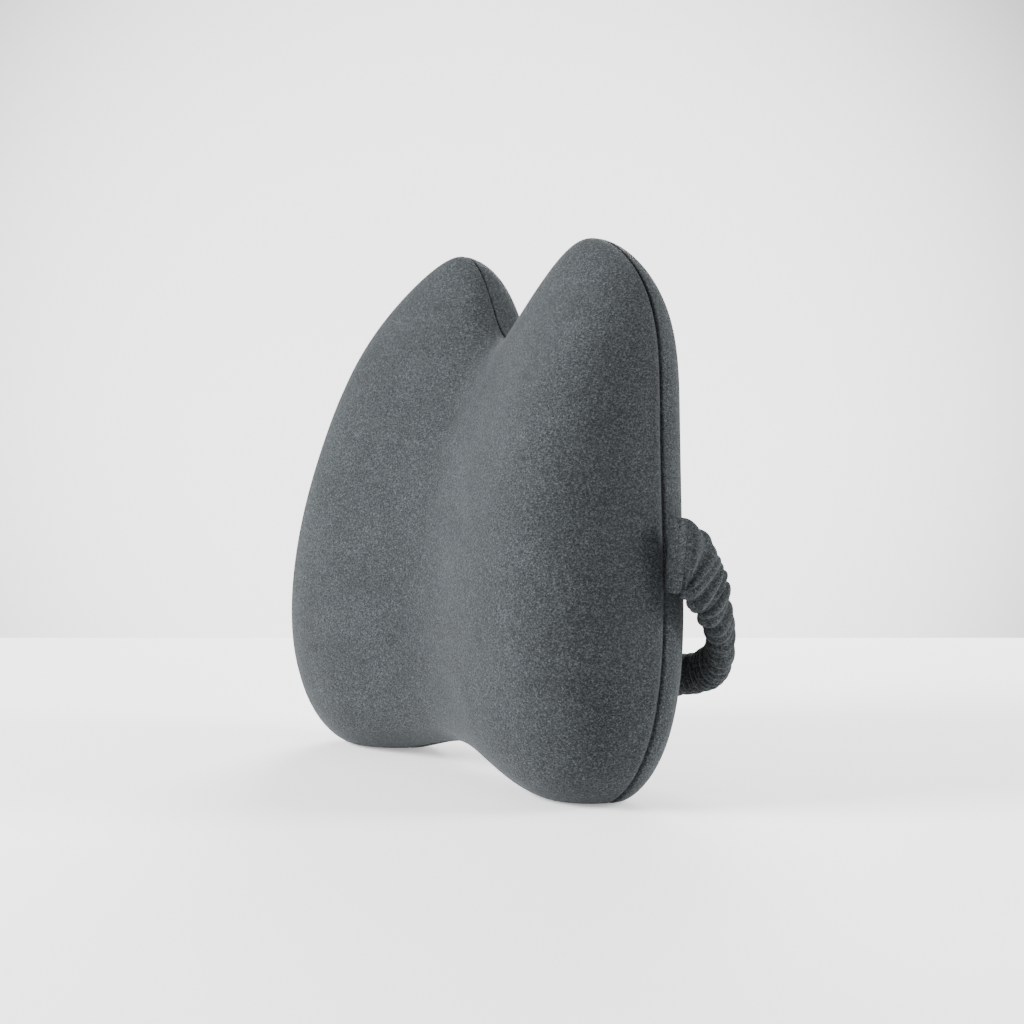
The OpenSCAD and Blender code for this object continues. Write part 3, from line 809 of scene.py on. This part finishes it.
FOLDS = Folds(11)
MEET_F = [ROOT_CUT, RUN_END, 2 * ROUTE_LAST - RUN_END, 2 * ROUTE_LAST - ROOT_CUT]
for f in MEET_F:
    FOLDS.deep_at(run_at(f), 2.6, 1.3)
SIDES = 72
ANGLES = 2 * math.pi * (np.arange(SIDES) + 0.5) / SIDES


def strap_ring(s, thin=0.0, folded=True, w=None, t=None):
    """A ring of the sleeve at run s."""
    f = float(np.interp(s, FINE_S, FINE_F))
    c = np.array([np.interp(s, FINE_S, FINE_P[:, i]) for i in range(3)])
    ahead = np.array([np.interp(s + 1.2, FINE_S, FINE_P[:, i]) for i in range(3)])
    behind = np.array([np.interp(s - 1.2, FINE_S, FINE_P[:, i]) for i in range(3)])
    d = ahead - behind
    d /= np.linalg.norm(d)
    u = np.array([0, 0, 1.0]) - d[2] * d
    u /= np.linalg.norm(u)
    v = np.cross(d, u)
    g = gather_at(s)
    near_root = min(s, STRAP_RUN - s)
    puff = 1 - math.exp(-near_root / 2.0)
    tuck = math.exp(-(near_root / 2.2) ** 2)
    c = c - [8.0 * tuck * (1 if s < STRAP_RUN / 2 else -1), 0, 0]
    upright = math.exp(-(near_root / 12.0) ** 2)
    u = u * (1 - upright) + np.array([0, math.sin(LEAN), math.cos(LEAN)]) * upright
    u /= np.linalg.norm(u)
    v = np.cross(d, u)
    v /= np.linalg.norm(v)
    width = (44 + (24 - 44) * g) if w is None else w
    thick = (2.0 + (14.5 - 2.0) * puff + (16 - 14.5) * g) if t is None else t
    sin, cos = np.sin(ANGLES), np.cos(ANGLES)
    flat_w = 0.7 + 0.2 * g
    hw = (width / 2 - thin) * np.sign(sin) * np.abs(sin) ** flat_w
    ht = (thick / 2 - thin * min(1, thick / 12)) * np.sign(cos) * np.abs(cos) ** 0.85
    p = c + u * hw[:, None] + v * ht[:, None]
    if folded:
        out = u * sin[:, None] + v * cos[:, None]
        level = puff ** 2
        p = p + out * (FOLDS.height(s, ANGLES) * level)[:, None]
    return p


def strap_tube(name, f0, f1, step=0.62):
    """A closed shell of the folded sleeve between two route positions."""
    s0, s1 = run_at(f0), run_at(f1)
    count = max(8, int((s1 - s0) / step))
    runs = np.linspace(s0, s1, count)
    outer = [strap_ring(s) for s in runs]
    inner_runs = np.linspace(s1, s0, max(6, count // 6))
    inner = [strap_ring(s, thin=5.2, folded=False) for s in inner_runs]
    return rows_mesh(name, outer + inner, STRAP_CLOTH_SHADED, wrap=True)


def mirrored(obj, name):
    mesh = obj.data.copy()
    co = np.array([v.co for v in mesh.vertices])
    co[:, 0] *= -1
    mesh.vertices.foreach_set("co", co.ravel())
    mesh.flip_normals()
    mesh.update()
    twin = bpy.data.objects.new(name, mesh)
    bpy.context.scene.collection.objects.link(twin)
    return twin


def strap_run(obj, kind):
    """Bakes a strap piece's placement into its mesh, the same way for either kind; the piece is not
    attached to a body.
    """
    if kind == "root":
        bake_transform(obj)
    else:
        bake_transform(obj)


def elastic(name, f0, f1):
    """The ribbed elastic inside the sleeve."""
    s0, s1 = run_at(f0), run_at(f1)
    rows = []
    for s in np.linspace(s0, s1, max(8, int((s1 - s0) / 1.3))):
        ring = strap_ring(s, folded=False, w=16, t=1.7 + 0.25 * math.sin(s * 2.4))
        rows.append(ring[::3])
    ends = (rows[0].mean(0), rows[-1].mean(0))
    return rows_mesh(name, rows, ELASTIC, tips=ends)


root_right = strap_tube("strap_root_right", 0.0, ROOT_CUT)
side_right = strap_tube("strap_side_right", ROOT_CUT, RUN_END)
band_right = elastic("elastic_side_right", 0.9, RUN_END)
middle = strap_tube("strap_back", RUN_END, 2 * ROUTE_LAST - RUN_END)
band_middle = elastic("elastic_back", RUN_END, 2 * ROUTE_LAST - RUN_END)
strap_pieces = []
for word, side in (("right", 1), ("left", -1)):
    root, run, band = root_right, side_right, band_right
    if side < 0:
        root = mirrored(root_right, "strap_root_left")
        run = mirrored(side_right, "strap_side_left")
        band = mirrored(band_right, "elastic_side_left")
    strap_pieces.append((word, side, root, run, band))
for word, side, root, run, band in strap_pieces:
    strap_run(root, "root")
    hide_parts("strap_tab_" + word)
    strap_run(run, "side")
    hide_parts("strap_sleeve_" + word)
    strap_run(band, "side")
    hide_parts("strap_elastic_" + word)
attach(middle, "strap_middle")
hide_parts("strap_sleeve_middle")
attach(band_middle, "strap_middle")
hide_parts("strap_elastic_middle")


# bar tacks that hold the strap's spread ends in the side seam
def tack_bars():
    made = []
    for s in (1.6, 3.4):
        for i in range(15):
            a = -0.92 + 1.84 * i / 14
            ring = strap_ring(s)
            outer = ring[ring[:, 0] > ring[:, 0].mean()]
            z0, z1 = outer[:, 2].min(), outer[:, 2].max()
            zs = z0 + (z1 - z0) * (0.5 + a / 2 + np.array([-0.03, 0, 0.03]))
            order = np.argsort(outer[:, 2])
            xs = np.interp(zs, outer[order, 2], outer[order, 0]) + [-0.1, 0.16, -0.1]
            ys = np.interp(zs, outer[order, 2], outer[order, 1]) + np.array([-0.5, 0, 0.5])
            made.append(tube("s", np.stack([xs, ys, zs], 1), 0.24, 6, THREAD))
    return join("strap_bar_tacks_right", made)


tacks = tack_bars()
tacks_left = mirrored(tacks, "strap_bar_tacks_left")
for t in (tacks, tacks_left):
    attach(t, "cushion")
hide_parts("strap_tab_stitching")


# blank care label in the left side seam, curling a little off the cover
def care_label():
    steps = 25
    i0, i1 = 60 * steps // 5, 62 * steps // 5
    rows_out = []
    for j, k in enumerate(np.linspace(1.0, 0.955, 12)):
        p = surface_ring(False, k, -0.45 - 0.5 * (j / 11) ** 2, LIP, 0, steps)
        rows_out.append(standing(p[i0:i1 + 1]))
    outer = np.array(rows_out)
    normal = np.cross(outer[1, 1] - outer[0, 1], outer[0, 2] - outer[0, 1])
    normal /= np.linalg.norm(normal)
    if normal[0] > 0:
        normal = -normal
    inner = outer - normal * 0.45
    r, n = outer.shape[:2]
    points = np.vstack([outer.reshape(-1, 3), inner.reshape(-1, 3)])
    faces = []
    for a in range(r - 1):
        for b in range(n - 1):
            q = a * n + b
            faces.append((q, q + 1, q + n + 1, q + n))
            faces.append((r * n + q, r * n + q + n, r * n + q + n + 1, r * n + q + 1))
    edge_loop = [b for b in range(n)] + [a * n + n - 1 for a in range(1, r)]
    edge_loop += [(r - 1) * n + b for b in range(n - 2, -1, -1)] + [a * n for a in range(r - 2, 0, -1)]
    for a, b in zip(edge_loop, edge_loop[1:] + edge_loop[:1]):
        faces.append((b, a, r * n + a, r * n + b))
    obj = new_object("care_label_blank", points, faces, LABEL)
    outward_faces(obj)
    return obj


label = care_label()
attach(label, "cushion")
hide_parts("care_label")


# ---------------------------------------------------------------- floor, light and camera
CAM_DIST = 1283.6
CAM_AZ = math.radians(58)
CAM_Z = 223.4
CAM_PITCH = math.radians(2.42)
FLOOR_FAR = 2090.0
FLOOR_SIZE = 6000.0
heading = np.array([-math.sin(CAM_AZ), math.cos(CAM_AZ), 0])
cam_pos = np.array([math.sin(CAM_AZ) * CAM_DIST, -math.cos(CAM_AZ) * CAM_DIST + SHIFT_Y, CAM_Z])

m, nodes, links, bsdf = material("floor_paint")
cloud = add(nodes, "ShaderNodeTexNoise", Scale=3.0, Detail=3.0)
links.new(tex_coord(nodes, links), cloud.inputs["Vector"])
tone = ramp(nodes, [(0.3, (0.86, 0.86, 0.86)), (0.7, (0.88, 0.88, 0.88))])
links.new(cloud.outputs["Fac"], tone.inputs["Fac"])
links.new(tone.outputs["Color"], bsdf.inputs["Base Color"])
bsdf.inputs["Roughness"].default_value = 0.75
bsdf.inputs["Specular IOR Level"].default_value = 0.2
bsdf.inputs["Emission Color"].default_value = (1, 1, 1, 1)
bsdf.inputs["Emission Strength"].default_value = 0.45
side_dir = np.array([math.cos(CAM_AZ), math.sin(CAM_AZ), 0])
far = cam_pos * [1, 1, 0] + heading * FLOOR_FAR
corners = [far - side_dir * FLOOR_SIZE / 2, far + side_dir * FLOOR_SIZE / 2]
corners += [c - heading * FLOOR_SIZE for c in reversed(corners)]
floor = new_object("studio_floor", corners, [(0, 1, 2, 3)], m)
if floor.data.polygons[0].normal.z < 0:
    floor.data.flip_normals()

camera = bpy.data.objects.new("camera", bpy.data.cameras.new("camera"))
bpy.context.scene.collection.objects.link(camera)
camera.data.lens = 68.76
camera.data.sensor_width = 36
camera.data.shift_x = 0.037
camera.data.clip_end = 50
camera.location = cam_pos * MM
camera.rotation_euler = (math.pi / 2 - CAM_PITCH, 0, CAM_AZ)
bpy.context.scene.camera = camera


def area_light(name, azimuth, elevation, distance, size, power, colour=(1, 1, 1)):
    """A soft box aimed at the cushion; azimuth as the camera's, in degrees."""
    a, e = math.radians(azimuth), math.radians(elevation)
    direction = Vector((math.sin(a) * math.cos(e), -math.cos(a) * math.cos(e), math.sin(e)))
    data = bpy.data.lights.new(name, "AREA")
    data.shape = "RECTANGLE"
    data.size, data.size_y = size
    data.energy = power
    data.color = colour
    obj = bpy.data.objects.new(name, data)
    bpy.context.scene.collection.objects.link(obj)
    obj.location = Vector((0, 0, 0.17)) + direction * distance
    obj.rotation_mode = "QUATERNION"
    obj.rotation_quaternion = direction.to_track_quat("Z", "Y")
    return obj


area_light("key_front", -16, 24, 2.2, (1.0, 1.0), 165)
area_light("rim_left", -128, 24, 2.4, (0.9, 1.3), 120)
area_light("rim_right", 142, 22, 2.4, (0.9, 1.3), 110)
area_light("fill_top", 20, 78, 2.8, (2.6, 2.6), 30)

# pale wall, brightest in a pool behind the cushion, dimmer overhead and on the side of the camera
world = bpy.data.worlds.new("studio")
bpy.context.scene.world = world
world.use_nodes = True
wn, wl = world.node_tree.nodes, world.node_tree.links
back = wn["Background"]
where = wn.new("ShaderNodeTexCoord")
split = wn.new("ShaderNodeSeparateXYZ")
wl.new(where.outputs["Generated"], split.inputs["Vector"])
wall = ramp(wn, [(0.0, (0.95, 0.95, 0.95)), (0.24, (0.62, 0.62, 0.625)), (0.5, (0.35, 0.35, 0.355))])
wl.new(split.outputs["Z"], wall.inputs["Fac"])
pool_at = wn.new("ShaderNodeVectorMath")
pool_at.operation = "DOT_PRODUCT"
pool_at.inputs[1].default_value = Vector((*heading[:2], 0.02)).normalized()
wl.new(where.outputs["Generated"], pool_at.inputs[0])
pool = wn.new("ShaderNodeMapRange")
pool.interpolation_type = "SMOOTHERSTEP"
pool.inputs["From Min"].default_value = math.cos(math.radians(23))
pool.inputs["From Max"].default_value = 1.0
pool.inputs["To Max"].default_value = 2.6
wl.new(pool_at.outputs["Value"], pool.inputs["Value"])
glow = wn.new("ShaderNodeMix")
glow.data_type = "RGBA"
glow.blend_type = "ADD"
glow.inputs["Factor"].default_value = 1.0
behind = wn.new("ShaderNodeMapRange")
behind.inputs["From Min"].default_value = -0.9
behind.inputs["From Max"].default_value = 0.5
behind.inputs["To Min"].default_value = 0.12
wl.new(pool_at.outputs["Value"], behind.inputs["Value"])
dimmed = wn.new("ShaderNodeVectorMath")
dimmed.operation = "SCALE"
wl.new(wall.outputs["Color"], dimmed.inputs[0])
wl.new(behind.outputs["Result"], dimmed.inputs["Scale"])
wl.new(dimmed.outputs["Vector"], glow.inputs[6])
wl.new(pool.outputs["Result"], glow.inputs[7])
wl.new(glow.outputs[2], back.inputs["Color"])
back.inputs["Strength"].default_value = 1.0
